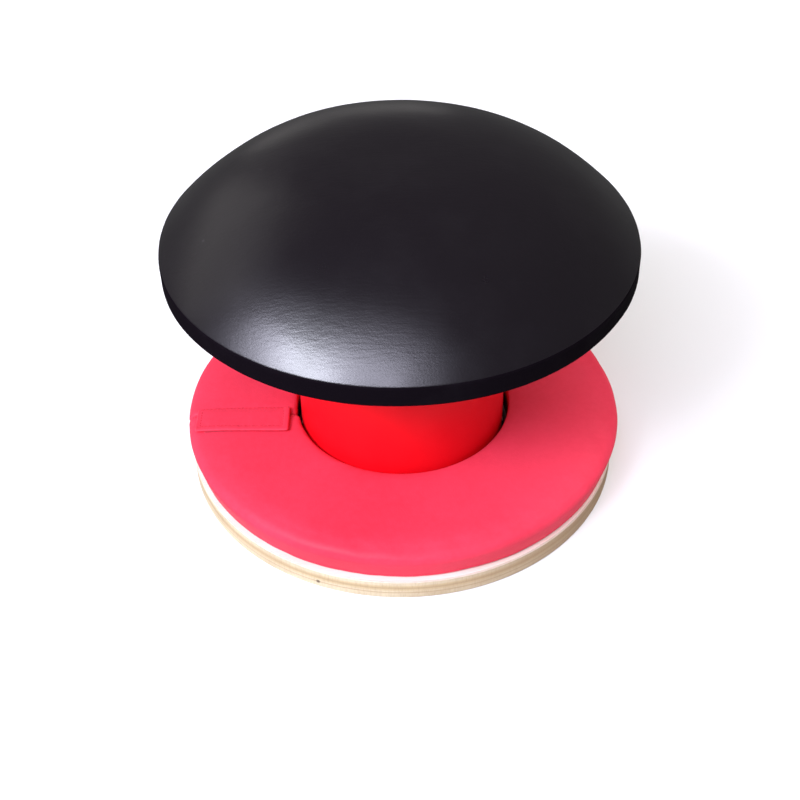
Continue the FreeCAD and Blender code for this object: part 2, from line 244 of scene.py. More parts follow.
def polyline(*points, step):
    """Points along straight runs, no further apart than step."""
    made = [points[0]]
    for a, b in zip(points, points[1:]):
        count = max(1, math.ceil(math.dist(a, b) / step))
        made += [tuple(p + (q - p) * k / count for p, q in zip(a, b)) for k in range(1, count + 1)]
    return made


def corner(centre, radius, start_deg, end_deg, count):
    """Points on an arc in the (radius, height) plane."""
    angles = [math.radians(start_deg + (end_deg - start_deg) * k / count) for k in range(count + 1)]
    return [(centre[0] + radius * math.cos(a), centre[1] + radius * math.sin(a)) for a in angles]


def unevenness(point, size, seed):
    """Smooth noise from -1 to 1 with features about this size."""
    return noise.noise(Vector(point) / size + Vector((seed, 2.3 * seed, -seed)))


# ---- materials ----------------------------------------------------------------------------------
class Paint:
    """A material with a Principled shader and short ways to add nodes to it."""

    def __init__(self, name, colour, roughness, **constants):
        self.material = bpy.data.materials.new(name)
        self.material.use_nodes = True
        self.nodes, self.links = self.material.node_tree.nodes, self.material.node_tree.links
        self.shader = self.nodes["Principled BSDF"]
        self.set(self.shader, "Base Color", (*colour, 1))
        self.set(self.shader, "Roughness", roughness)
        for key, value in constants.items():
            self.set(self.shader, key.replace("_", " "), value)
        self.place = self.nodes.new("ShaderNodeTexCoord").outputs["Object"]

    def set(self, node, socket, value):
        if isinstance(value, bpy.types.NodeSocket):
            self.links.new(value, node.inputs[socket])
        else:
            node.inputs[socket].default_value = value

    def add(self, kind, out=0, options=None, **inputs):
        """Adds a node and gives its output. i0, i1 and so on name an input by its place."""
        node = self.nodes.new(kind)
        for key, value in (options or {}).items():
            setattr(node, key, value)
        for key, value in inputs.items():
            by_place = key[0] == "i" and key[1:].isdigit()
            self.set(node, int(key[1:]) if by_place else key.replace("_", " "), value)
        return node.outputs[out]

    def noise(self, scale, detail=3.0, roughness=0.5, where=None):
        return self.add("ShaderNodeTexNoise", Vector=where or self.place, Scale=scale, Detail=detail,
                        Roughness=roughness)

    def cells(self, scale, feature="F1", out="Distance"):
        return self.add("ShaderNodeTexVoronoi", out, {"feature": feature}, Vector=self.place, Scale=scale)

    def stretch(self, x, y, z):
        return self.add("ShaderNodeMapping", Vector=self.place, Scale=(x, y, z))

    def maths(self, operation, a, b=0.0, c=0.0):
        return self.add("ShaderNodeMath", 0, {"operation": operation}, i0=a, i1=b, i2=c)

    def between(self, value, low, high, to_low=0.0, to_high=1.0):
        """The value's range low..high mapped to to_low..to_high and clamped."""
        return self.add("ShaderNodeMapRange", 0, Value=value, From_Min=low, From_Max=high, To_Min=to_low,
                        To_Max=to_high)

    def mix(self, factor, a, b):
        node = self.nodes.new("ShaderNodeMix")
        node.data_type = "RGBA"
        sockets = [s for s in node.inputs if s.enabled]
        for socket, value in zip(sockets, (factor, a, b)):
            if isinstance(value, bpy.types.NodeSocket):
                self.links.new(value, socket)
            else:
                socket.default_value = (*value, 1) if isinstance(value, tuple) else value
        return [s for s in node.outputs if s.enabled][0]

    def ramp(self, value, *stops):
        """A run of colours, each stop (position, colour), blended in between."""
        node = self.nodes.new("ShaderNodeValToRGB")
        elements = node.color_ramp.elements
        elements.remove(elements[1])
        elements[0].position, elements[0].color = stops[0][0], (*stops[0][1], 1)
        for position, colour in stops[1:]:
            elements.new(position).color = (*colour, 1)
        self.links.new(value, node.inputs[0])
        return node.outputs[0]

    def distance(self, centre, flat=False):
        """Distance from a place, or from the upright line through it where flat."""
        vector_maths = "ShaderNodeVectorMath"
        away = self.add(vector_maths, 0, {"operation": "SUBTRACT"}, i0=self.place, i1=tuple(centre))
        if flat:
            away = self.add(vector_maths, 0, {"operation": "MULTIPLY"}, i0=away, i1=(1, 1, 0))
        return self.add(vector_maths, "Value", {"operation": "LENGTH"}, i0=away)

    def colour(self, value):
        self.set(self.shader, "Base Color", value)

    def roughness(self, value):
        self.set(self.shader, "Roughness", value)

    def bump(self, *layers):
        """Bump layers, each (height, distance in metres), one on top of the other."""
        normal = None
        for height, distance in layers:
            inputs = {"Height": height, "Distance": distance, "Strength": 1.0}
            if normal is not None:
                inputs["Normal"] = normal
            normal = self.add("ShaderNodeBump", **inputs)
        self.set(self.shader, "Normal", normal)
        return self.material


def black_leather(name, gloss, dull, shine):
    """Tightly stretched black artificial leather: fine pebble grain, faint creasing, a few pale specks."""
    black, dust = (0.0042, 0.0024, 0.0044), (0.05, 0.045, 0.05)
    p = Paint(name, black, gloss, Specular_IOR_Level=shine)
    specks = p.between(p.cells(24), 0.012, 0.035, 0.5, 0.0)
    haze = p.between(p.noise(16, 5, 0.6), 0.5, 0.8, 0.0, 0.06)
    p.colour(p.mix(p.maths("ADD", specks, haze), black, dust))
    p.roughness(p.between(p.noise(14, 3), 0.3, 0.7, gloss, dull))
    creasing = p.noise(1, 3, where=p.stretch(70, 420, 420))
    grain = p.cells(780, feature="SMOOTH_F1")
    pores = p.noise(2400, 2)
    return p.bump((p.noise(95, 2), 0.00005), (creasing, 0.00007), (grain, 0.00003), (pores, 0.00001))


def red_vinyl():
    """Saturated, slightly glossy red vinyl with a faint emboss."""
    p = Paint("red_vinyl", (0.86, 0.003, 0.009), 0.38, Specular_IOR_Level=0.28)
    cloud = p.noise(18, 3)
    p.colour(p.mix(cloud, (0.80, 0.002, 0.008), (0.88, 0.0035, 0.012)))
    p.roughness(p.between(cloud, 0.3, 0.7, 0.34, 0.44))
    return p.bump((p.noise(60, 2), 0.00025), (p.cells(900, feature="SMOOTH_F1"), 0.00006))


def coral_leather(name, hole_shade=False):
    """Pinkish red, soft matte artificial leather with a fine grain. Painted shade can blacken the hole's foot."""
    deep, pale = (0.76, 0.038, 0.074), (0.82, 0.049, 0.094)
    p = Paint(name, pale, 0.5, Specular_IOR_Level=0.12)
    cloud = p.noise(11, 4)
    mottle = p.noise(240, 2)
    blend = p.maths("MULTIPLY_ADD", mottle, 0.3, p.maths("MULTIPLY", cloud, 0.7))
    colour = p.mix(p.between(blend, 0.35, 0.65), deep, pale)
    # painted shade: nearly black down the hole's wall towards the foot, where the gap round the column lies in shade
    if hole_shade:
        height = p.add("ShaderNodeSeparateXYZ", "Z", Vector=p.place)
        from_axis = p.distance(PAD_CENTRE, flat=True)
        inside = p.between(from_axis, PAD_HOLE_R + 2 * MM, PAD_HOLE_R + 4 * MM, 0.96, 0.0)
        low = p.between(height, PAD_HIGH.z - 13 * MM, PAD_HIGH.z - 4 * MM, 1.0, 0.0)
        colour = p.mix(p.maths("MULTIPLY", inside, low), colour, (0.02, 0.003, 0.004))
    p.colour(colour)
    p.roughness(p.between(cloud, 0.3, 0.7, 0.44, 0.56))
    grain, pores = p.cells(900, feature="SMOOTH_F1"), p.noise(2600, 2)
    return p.bump((p.noise(45, 2), 0.00030), (grain, 0.00008), (pores, 0.00002))


def plywood(name, low, high, shade_r=0.0, knot=None):
    """Birch plywood between two heights: long grain on the faces, plies of uneven tone round the edge.

    The edge is painted darker towards +X, as shade on the side turned from the lamps, and may have a knot.
    Inside the given radius the upper face is painted near-black, as shade down the gap round the column.
    """
    cream, straw = (0.71, 0.61, 0.41), (0.64, 0.51, 0.29)
    tan, brown = (0.50, 0.37, 0.21), (0.28, 0.18, 0.11)
    p = Paint(name, cream, 0.55, Specular_IOR_Level=0.3)
    height = p.add("ShaderNodeSeparateXYZ", "Z", Vector=p.place)
    drift = 1.6 * MM
    wander = p.maths("MULTIPLY_ADD", p.noise(8, 2), drift, height)
    depth = p.between(wander, low + drift / 2, high + drift / 2)
    edge = p.ramp(depth, (0.0, tan), (0.05, cream), (0.28, cream), (0.33, tan), (0.38, cream),
                  (0.52, straw), (0.60, tan), (0.72, straw), (0.80, cream), (0.93, cream), (0.98, brown))
    patch = p.noise(1, 3, 0.6, where=p.stretch(22, 22, 160))
    edge = p.mix(p.between(patch, 0.45, 0.75, 0.0, 0.6), edge, tan)
    # painted shade: the edge darkens towards +X, the side turned from the lamps
    rightward = p.add("ShaderNodeSeparateXYZ", "X", Vector=p.place)
    right_shade = p.between(rightward, -10 * MM, 160 * MM, 0.0, 0.8)
    edge = p.mix(right_shade, edge, (0.36, 0.22, 0.12))
    end_grain = p.noise(1, 3, 0.7, where=p.stretch(700, 700, 120))
    edge = p.mix(p.between(end_grain, 0.45, 0.75, 0.0, 0.35), edge, (0.36, 0.23, 0.13))
    fibres = p.noise(1, 5, 0.6, where=p.stretch(30, 900, 900))
    bands = {"wave_type": "BANDS", "bands_direction": "Y", "wave_profile": "SIN"}
    rings = p.add("ShaderNodeTexWave", "Fac", bands, Vector=p.stretch(0.22, 1, 1), Scale=11, Distortion=9,
                  Detail=3, Detail_Scale=1.4)
    face = p.mix(p.maths("MULTIPLY", rings, 0.5), (0.90, 0.85, 0.77), (0.84, 0.75, 0.62))
    face = p.mix(p.between(fibres, 0.35, 0.75, 0.0, 0.35), face, (0.74, 0.62, 0.45))
    upright = p.add("ShaderNodeSeparateXYZ", "Z", Vector=p.add("ShaderNodeNewGeometry", "True Normal"))
    # painted shade: the upper face turns near-black inside the given radius, down the gap round the column
    if shade_r:
        painted_shade = p.between(p.distance((0, 0, 0), flat=True), shade_r - 12 * MM, shade_r, 0.97, 0.0)
        painted_shade = p.maths("MULTIPLY", painted_shade, p.between(upright, 0.5, 0.9))
        face = p.mix(painted_shade, face, (0.012, 0.008, 0.006))
    if knot is not None:
        edge = p.mix(p.between(p.distance(knot), 0.9 * MM, 2.2 * MM, 0.85, 0.0), edge, (0.10, 0.06, 0.04))
    flat = p.between(p.maths("ABSOLUTE", upright), 0.5, 0.9)
    p.colour(p.mix(flat, edge, face))
    p.roughness(p.between(fibres, 0.3, 0.7, 0.48, 0.62))
    return p.bump((fibres, 0.00012), (end_grain, 0.00010))


def zinc():
    """Zinc-plated steel: patchy crystals and fine drawing marks."""
    p = Paint("zinc", (0.60, 0.61, 0.60), 0.34, Metallic=1.0)
    patch = p.cells(260, out="Color")
    grey = p.add("ShaderNodeRGBToBW", Color=patch)
    p.colour(p.mix(p.between(grey, 0.2, 0.8, 0.0, 0.6), (0.55, 0.56, 0.56), (0.72, 0.71, 0.66)))
    p.roughness(p.between(p.noise(300, 3), 0.3, 0.7, 0.26, 0.44))
    return p.bump((p.noise(1, 2, where=p.stretch(60, 60, 2200)), 0.00002))


def staple_steel():
    p = Paint("staple_steel", (0.78, 0.78, 0.76), 0.28, Metallic=1.0)
    p.roughness(p.between(p.noise(900, 2), 0.3, 0.7, 0.22, 0.40))
    return p.bump((p.noise(2500, 2), 0.00002))


def painted_steel():
    """Black paint on the coil spring, rubbed through in places."""
    p = Paint("painted_steel", (0.02, 0.02, 0.022), 0.35)
    rub = p.between(p.noise(70, 5), 0.62, 0.70)
    p.colour(p.mix(rub, (0.02, 0.02, 0.022), (0.20, 0.17, 0.14)))
    p.roughness(p.between(rub, 0.0, 1.0, 0.35, 0.6))
    return p.bump((p.noise(500, 3), 0.00008))


def woven(name, light, dark, threads, depth):
    """Plain weave: threads per metre, crossing over and under."""
    p = Paint(name, light, 0.85, Specular_IOR_Level=0.2, Sheen_Weight=0.25, Sheen_Roughness=0.5)
    split = p.nodes.new("ShaderNodeSeparateXYZ")
    p.links.new(p.place, split.inputs[0])
    warp, weft = (p.maths("SINE", p.maths("MULTIPLY", axis, threads * TURN)) for axis in split.outputs[:2])
    weave = p.maths("MULTIPLY_ADD", p.maths("MULTIPLY", warp, weft), 0.5, 0.5)
    fuzz = p.noise(1800, 3)
    p.colour(p.mix(p.maths("MULTIPLY", weave, p.between(fuzz, 0.3, 0.7, 0.6, 1.0)), dark, light))
    return p.bump((weave, depth), (fuzz, depth * 0.4))


def foam(name, pale, tan, cell):
    """Open-cell foam with visible pores and yellowed patches."""
    p = Paint(name, pale, 0.9, Specular_IOR_Level=0.15)
    pores = p.cells(cell)
    patch = p.noise(20, 3)
    p.colour(p.mix(p.between(patch, 0.35, 0.7), pale, tan))
    return p.bump((pores, 0.0006), (p.noise(cell * 0.4, 2), 0.0004))


def thread(name, colour):
    p = Paint(name, colour, 0.8, Specular_IOR_Level=0.1)
    twist = p.noise(3500, 2)
    p.colour(p.mix(twist, tuple(0.75 * c for c in colour), colour))
    return p.bump((twist, 0.00006))


def floor_paint():
    p = Paint("floor_paint", (0.86, 0.86, 0.86), 0.6, Specular_IOR_Level=0.2)
    p.colour(p.mix(p.noise(3, 3), (0.85, 0.85, 0.85), (0.87, 0.87, 0.865)))
    return p.bump((p.noise(400, 3), 0.00004))


# ---- target -------------------------------------------------------------------------------------
def target_skin(material, band_material):
    """One piece of leather over dome and edge, pleated where it turns under the board."""
    segments, dome_rows, crease_r, foot_r = 288, 46, 4.5 * MM, 2.4 * MM
    rim_angle = math.atan(DOME_POWER * DOME_H / HEAD_R)
    tangent = crease_r * math.tan((TURN / 4 - rim_angle) / 2)
    dome_end = HEAD_R - 1.06 * tangent * math.cos(rim_angle)
    radii = [dome_end * k / dome_rows for k in range(1, dome_rows + 1)]
    profile = [(r, CREASE_Z + DOME_H * (1 - (r / HEAD_R) ** DOME_POWER)) for r in radii]
    crease_start = 90 - math.degrees(rim_angle)
    band_top, band_foot = CREASE_Z - tangent - 1.2 * MM, HEAD_LOW.z + foot_r + MM
    profile += corner((HEAD_R - crease_r, CREASE_Z - tangent), crease_r, crease_start, 0, 7)[1:]
    profile += polyline((HEAD_R, band_top), (HEAD_R, band_foot), step=2.0 * MM)
    profile += corner((HEAD_R - foot_r, HEAD_LOW.z + foot_r), foot_r, 0, -90, 5)
    profile += polyline((HEAD_R - foot_r - MM, HEAD_LOW.z), (HEM_R, HEAD_LOW.z), step=2.0 * MM)
    points = [(0, 0, CREASE_Z + DOME_H)]
    for i, (r, z) in enumerate(profile):
        before, after = profile[max(0, i - 1)], profile[min(len(profile) - 1, i + 1)]
        out = Vector((before[1] - after[1], after[0] - before[0])).normalized()    # (radius, height)
        under = max(0.0, (HEAD_R - foot_r - r) / (HEAD_R - foot_r - HEM_R)) if z < HEAD_LOW.z + MM else 0.0
        edge = math.exp(-((z - CREASE_Z + 3 * MM) / (7 * MM)) ** 2)
        for k in range(segments):
            a = TURN * k / segments
            place = (r * math.cos(a), r * math.sin(a), z)
            swell = 0.55 * MM * unevenness(place, 75 * MM, 3) + 0.12 * MM * unevenness(place, 24 * MM, 7)
            tuck = math.cos(a * STAPLE_COUNT + 2.5 * unevenness(place, 60 * MM, 5))
            grow = (swell * (1 - 0.6 * edge) + 0.05 * MM * edge * tuck) * (1 - min(1, 4 * under))
            pleat = under * 0.9 * MM * (0.5 + 0.5 * tuck)
            radius = r + grow * out[0]
            points.append((radius * math.cos(a), radius * math.sin(a), z + grow * out[1] + pleat))
    faces = [[0, 1 + k, 1 + (k + 1) % segments] for k in range(segments)]
    faces += [f[::-1] for f in grid_faces(len(profile), segments, wrap_columns=True, first=1)]
    skin = add_mesh("target_skin", points, faces, material)
    skin.data.materials.append(band_material)
    for face in skin.data.polygons:
        face.material_index = int(face.center.z < CREASE_Z + 0.5 * MM)
    thicken = skin.modifiers.new("thickness", "SOLIDIFY")
    thicken.thickness, thicken.offset = 1.1 * MM, -1
    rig.ride(skin, "target")
    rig.replaces(skin, "head_cover", "dome_foam", "edge_padding")
    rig.slot(skin, "black_leather")
    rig.padded(skin, 0.9)


def target_lining(material):
    """Lining stapled over the underside, its edges folded in and drawn up a little at each staple."""
    segments = 288
    inner, outer = LINING_HOLE_R, LINING_HIGH.y
    middle = (LINING_LOW.z + LINING_HIGH.z) / 2
    fold = 0.55 * MM
    radii = polyline((inner + fold,), (inner + 4 * MM,), (outer - 14 * MM,), (outer - fold,), step=3.5 * MM)
    lower = [(r[0], -1) for r in radii]
    loop = lower + [(outer, 0)] + [(r, 1) for r, _ in reversed(lower)] + [(inner, 0)]
    points = []
    for r, side in loop:
        for k in range(segments):
            a = TURN * k / segments
            place = (r * math.cos(a), r * math.sin(a), 0)
            near_edge = math.exp(-((r - (outer - 6 * MM)) / (9 * MM)) ** 2)
            pull = near_edge * 0.35 * MM * math.cos(STAPLE_COUNT * (a - math.radians(5)))
            hem = 0.25 * MM if r > outer - 8 * MM or r < inner + 7 * MM else 0.0
            sag = 0.35 * MM * unevenness(place, 45 * MM, 11)
            z = middle + side * (fold * 0.8) + (-(hem) + pull if side < 0 else 0) + min(0, sag) * (side < 0)
            points.append((place[0], place[1], z))
    lining = add_mesh("target_lining", points, grid_faces(len(loop), segments, True, True), material)
    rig.ride(lining, "target")
    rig.replaces(lining, "rear_cover")
    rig.slot(lining, "black_lining")


# ---- column -------------------------------------------------------------------------------------
def tube_rows(heights, radius_at, segments):
    """Rows of points round the column's axis at these heights."""
    return [(radius_at(TURN * k / segments, z) * math.cos(TURN * k / segments),
             radius_at(TURN * k / segments, z) * math.sin(TURN * k / segments), z)
            for z in heights for k in range(segments)]


def sleeve_radius(angle, z):
    """The stretched vinyl: an overlapped seam at the back, soft unevenness, slight waists at both ends."""
    place = (COLUMN_R * math.cos(angle), COLUMN_R * math.sin(angle), z)
    from_seam = (angle - TURN / 4) * COLUMN_R
    seam = 0.7 * MM / (1 + math.exp(-from_seam / (0.6 * MM))) if abs(from_seam) < 9 * MM else 0.0
    if from_seam > 0:
        seam *= max(0.0, 1 - max(0.0, from_seam - 6 * MM) / (3 * MM))
    ends = min(z - SLEEVE_LOW.z, SLEEVE_HIGH.z - z)
    waist = -0.5 * MM * math.exp(-(ends / (9 * MM)) ** 2)
    ripple = 0.22 * MM * unevenness((place[0], place[1], z * 0.35), 30 * MM, 2)
    return COLUMN_R - 0.1 * MM + waist + ripple + 0.25 * MM * unevenness(place, 70 * MM, 4) + seam


def column_pieces(material, foam_material, spring_material):
    """Sleeve, foam and spring, each in three pieces that bend across the column's three joints."""
    spans = [("lower", SLEEVE_LOW.z, BEND_1, "base", "column_middle"),
             ("middle", BEND_1, BEND_2, "column_middle", "column_top"),
             ("upper", BEND_2, SLEEVE_HIGH.z, "column_top", "target")]
    first_bend = PLUG_HIGH.z + 2 * MM
    segments, row_step = 224, 2.2 * MM
    for name, low, high, body_a, body_b in spans:
        count = math.ceil((high - low) / row_step)
        heights = [low + (high - low) * k / count for k in range(count + 1)]
        rows = tube_rows(heights, sleeve_radius, segments)
        faces = grid_faces(len(heights), segments, wrap_columns=True)
        skin = add_mesh("sleeve_" + name, rows, faces, material)
        if name == "upper":
            flange_for(skin, segments, len(heights))
        blocks = [skin, foam_block(name, low, high, foam_material),
                  spring_part(name, low, high, spring_material)]
        start = max(low, first_bend)
        end = min(high, TARGET_BOARD_LOW.z - 4 * MM)
        for piece in blocks:
            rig.blend(piece, body_a, body_b, start=(0, 0, start), end=(0, 0, end))
        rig.replaces(blocks[0], "column_sleeve")
        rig.replaces(blocks[1], "foam_" + name)
        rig.replaces(blocks[2], "main_spring")
        for piece, slot in zip(blocks, ("red_vinyl", "column_foam", "spring_steel")):
            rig.slot(piece, slot)
        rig.padded(blocks[0], 1.0)
        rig.padded(blocks[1], 1.0)


def flange_for(skin, segments, row_count):
    """Turns the top of the sleeve outwards under the target board."""
    mesh = skin.data
    points = [tuple(v.co) for v in mesh.vertices]
    faces = [list(f.vertices) for f in mesh.polygons]
    last = (row_count - 1) * segments
    widths = [0.6 * MM, 2 * MM, 5 * MM, 9 * MM, 13.5 * MM]
    for width in widths:
        for k in range(segments):
            a = TURN * k / segments
            r = COLUMN_R + width
            points.append((r * math.cos(a), r * math.sin(a), SLEEVE_HIGH.z - 0.2 * MM))
    rings = [last] + [len(mesh.vertices) + i * segments for i in range(len(widths))]
    for low, high in zip(rings, rings[1:]):
        for k in range(segments):
            n = (k + 1) % segments
            faces.append([low + k, low + n, high + n, high + k])
    mesh.clear_geometry()
    mesh.from_pydata(points, [], faces)
    mesh.polygons.foreach_set("use_smooth", [True] * len(mesh.polygons))
    mesh.update()


def foam_block(name, low, high, material):
    """A length of the foam sleeve between spring and vinyl."""
    low, high = max(low, FOAM_LOW.z), min(high, FOAM_HIGH.z)
    outer, inner, ease, segments = COLUMN_R - 2.2 * MM, 58 * MM, 1.0 * MM, 96
    loop = polyline((outer, low + ease), (outer, high - ease), step=6 * MM)
    loop += polyline((outer - ease, high), (inner + ease, high), step=9 * MM)
    loop += polyline((inner, high - ease), (inner, low + ease), step=6 * MM)
    loop += polyline((inner + ease, low), (outer - ease, low), step=9 * MM)
    points = [(r * math.cos(TURN * k / segments), r * math.sin(TURN * k / segments), z)
              for r, z in loop for k in range(segments)]
    return add_mesh("foam_core_" + name, points, grid_faces(len(loop), segments, True, True), material)


def spring_height(turn):
    """Height of the wire's centre after this angle: flat end coil, open helix, flat end coil."""
    low, high = SPRING_LOW.z + WIRE_R, SPRING_HIGH.z - WIRE_R
    return min(high, max(low, low + (turn - SPRING_FLAT) * SPRING_PITCH / TURN))


def spring_part(name, low, high, material):
    """The coils that lie between two heights, swept as a round wire with closed ends."""
    rise = SPRING_HIGH.z - SPRING_LOW.z - 2 * WIRE_R
    total = 2 * SPRING_FLAT + rise / SPRING_PITCH * TURN
    helix_lean = math.atan2(SPRING_PITCH / TURN, SPRING_MEAN_R)
    steps, sides = 900, 14
    turns = [total * k / steps for k in range(steps + 1)]
    inside = [t for t in turns if low <= spring_height(t) <= high]
    points = []
    for t in inside:
        lean = helix_lean if SPRING_FLAT < t < total - SPRING_FLAT else 0
        radial = Vector((math.cos(t), math.sin(t), 0))
        along = Vector((-math.sin(t) * math.cos(lean), math.cos(t) * math.cos(lean), math.sin(lean)))
        up = radial.cross(along)
        centre = radial * SPRING_MEAN_R + Vector((0, 0, spring_height(t)))
        for s in range(sides):
            a = TURN * s / sides
            points.append(centre + WIRE_R * (radial * math.cos(a) + up * math.sin(a)))
    faces = grid_faces(len(inside), sides, wrap_columns=True)
    faces += [list(range(sides)), list(range(len(points) - 1, len(points) - sides - 1, -1))]
    return add_mesh("spring_" + name, points, faces, material)


# ---- ring pad -----------------------------------------------------------------------------------
def pad_section():
    """The ring pad's cross-section as (radius, height), from the foot of the hole round by the outside."""
    foot, top = PAD_LOW.z, PAD_HIGH.z
    rim, inner_rim, foot_rim = 10 * MM, 3.5 * MM, 1.6 * MM
    bulge_r = PAD_R + 1.0 * MM
    loop = polyline((PAD_HOLE_R + foot_rim, foot), (PAD_FOOT_R - foot_rim, foot), step=6 * MM)
    loop += corner((PAD_FOOT_R - foot_rim, foot + foot_rim), foot_rim, -90, 5, 3)[1:]
    loop += polyline((PAD_FOOT_R + 0.2 * MM, foot + 3.5 * MM), (bulge_r, top - rim), step=3 * MM)
    loop += corner((bulge_r - rim, top - rim), rim, 0, 90, 8)[1:]
    loop += polyline((bulge_r - rim - 3 * MM, top), (PAD_HOLE_R + inner_rim + 2 * MM, top), step=4.2 * MM)
    loop += corner((PAD_HOLE_R + inner_rim, top - inner_rim), inner_rim, 90, 180, 6)
    loop += polyline((PAD_HOLE_R, top - inner_rim - 2 * MM), (PAD_HOLE_R, foot + foot_rim), step=3 * MM)
    return loop


def pad_skin(material):
    """The C-shaped ring pad, cut a little small and filled out: leaning side, soft lips at the split.

    The skin runs from the split's near face round to its far face. Each row is (face it is measured from,
    distance or share of the way, how far the section is drawn in across and upright).
    """
    section = pad_section()
    mid_r, mid_z = (PAD_HOLE_R + PAD_R) / 2, (PAD_LOW.z + PAD_HIGH.z) / 2
    half_w, half_h = (PAD_R - PAD_HOLE_R) / 2, (PAD_HIGH.z - PAD_LOW.z) / 2
    lip_length, middle_count = 9 * MM, 250
    faces_of_split = [(0, share, share) for share in (0.96, 0.6, 0.28)]
    lip_curve = ((0, 2.2), (0.5, 1.2), (1.3, 0.6), (2.4, 0.2), (4.0, 0.0), (6.2, 0.0), (9.0, 0.0))
    lips = [(at * MM, inset * MM / half_w, inset * MM / half_h) for at, inset in lip_curve]
    ends = faces_of_split + lips
    rows = [("near", *row) for row in ends]
    rows += [("middle", k / middle_count, 0, 0) for k in range(1, middle_count)]
    rows += [("far", *row) for row in reversed(ends)]
    split_y = SPLIT_Y - PAD_CENTRE.y
    points = []
    for kind, at, draw_r, draw_z in rows:
        for r, z in section:
            r, z = r + (mid_r - r) * draw_r, z + (mid_z - z) * draw_z
            near = math.asin((-split_y + SPLIT_GAP / 2) / r)
            far = TURN + math.asin((-split_y - SPLIT_GAP / 2) / r)
            start, end = near + lip_length / r, far - lip_length / r
            a = {"near": near + at / r, "far": far - at / r, "middle": start + (end - start) * at}[kind]
            hole_side = max(0.0, 1 - (r - PAD_HOLE_R) / (14 * MM))
            pinch = 1.0 * MM * math.exp(-((a - near) * r / (3 * MM)) ** 2)
            pinch += 2.6 * MM * math.exp(-((far - a) * r / (11 * MM)) ** 2)
            on_top = max(0.0, 1 - (PAD_HIGH.z - z) / (6 * MM))
            across = (r - mid_r) / half_w
            crown = on_top * (0.4 * MM * (1 - across ** 2) - 0.9 * MM)
            place = (-r * math.cos(a), -r * math.sin(a), z)
            soft = 0.45 * MM * unevenness(place, 55 * MM, 9) + 0.14 * MM * unevenness(place, 18 * MM, 13)
            gather = max(0.0, across) ** 8 * math.exp(-((z - PAD_LOW.z - 4 * MM) / (9 * MM)) ** 2)
            gather *= 0.5 * MM * unevenness((place[0], place[1], 0.3 * z), 13 * MM, 31)
            out = r + hole_side * pinch + max(0.0, across) ** 4 * soft + gather
            points.append((PAD_CENTRE.x - out * math.cos(a), PAD_CENTRE.y - out * math.sin(a),
                           z + crown + on_top * soft))
    count = len(section)
    faces = [f[::-1] for f in grid_faces(len(rows), count, wrap_columns=True)]
    last = (len(rows) - 1) * count
    faces += [list(range(count)), list(range(last + count - 1, last - 1, -1))]
    pad = add_mesh("ring_pad_skin", points, faces, material)
    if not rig.quick():
        inflate(pad, pressure=4, frames=20, cap=1.6 * MM)
        settle_pad(pad, np.array(points))
    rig.ride(pad, "ring_pad")
    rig.replaces(pad, "pad_cover", "pad_foam", "pad_underside")
    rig.slot(pad, "coral_cover")
    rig.padded(pad, 0.85)
    return pad


def inflate(piece, pressure, frames, cap):
    """Fills a closed skin out as cloth under air pressure. No point moves further than cap."""
    mesh = piece.data
    start = np.array([v.co for v in mesh.vertices])
    modifier = piece.modifiers.new("cloth", "CLOTH")
    cloth = modifier.settings
    cloth.quality, cloth.mass = 5, 0.3
    cloth.tension_stiffness = cloth.compression_stiffness = 18
    cloth.shear_stiffness, cloth.bending_stiffness = 8, 1.0
    cloth.tension_damping = cloth.compression_damping = 8
    cloth.use_pressure, cloth.uniform_pressure_force = True, pressure
    cloth.effector_weights.gravity = 0
    modifier.point_cache.frame_start, modifier.point_cache.frame_end = 1, frames
    for step in range(1, frames + 1):
        bpy.context.scene.frame_set(step)
    filled = piece.evaluated_get(bpy.context.evaluated_depsgraph_get())
    move = np.array([v.co for v in filled.data.vertices]) - start
    piece.modifiers.remove(modifier)
    bpy.context.scene.frame_set(1)
    length = np.linalg.norm(move, axis=1, keepdims=True)
    move *= cap * np.tanh(length / cap) / np.maximum(length, 1e-9)
    mesh.vertices.foreach_set("co", (start + move).ravel())
    mesh.update()


def settle_pad(pad, cut):
    """Holds the filled pad flat on the board, out to its rim, clear of its hole and clear at its split."""
    place = np.array([v.co for v in pad.data.vertices])
    place[:, 2] = np.maximum(place[:, 2], np.where(cut[:, 2] < PAD_LOW.z + 2 * MM, cut[:, 2], PAD_LOW.z))
    centre = np.array([PAD_CENTRE.x, PAD_CENTRE.y])
    away, away_cut = place[:, :2] - centre, cut[:, :2] - centre
    radius = np.linalg.norm(away, axis=1)
    radius_cut = np.linalg.norm(away_cut, axis=1)
    least = radius_cut - 0.2 * MM
    held = (radius_cut < PAD_HOLE_R + 1 * MM) | (radius_cut > PAD_FOOT_R - 3 * MM)
    push = np.where(held & (radius < least), least / radius, 1.0)[:, None]
    place[:, :2] = centre + away * push
    by_split = (cut[:, 0] < 0) & (np.abs(cut[:, 1] - SPLIT_Y) < 4 * MM)
    side = np.sign(cut[:, 1] - SPLIT_Y)
    apart = np.maximum(np.abs(cut[:, 1] - SPLIT_Y) - 0.2 * MM, (place[:, 1] - SPLIT_Y) * side)
    place[:, 1] = np.where(by_split, SPLIT_Y + side * apart, place[:, 1])
    pad.data.vertices.foreach_set("co", place.ravel())
    pad.data.update()


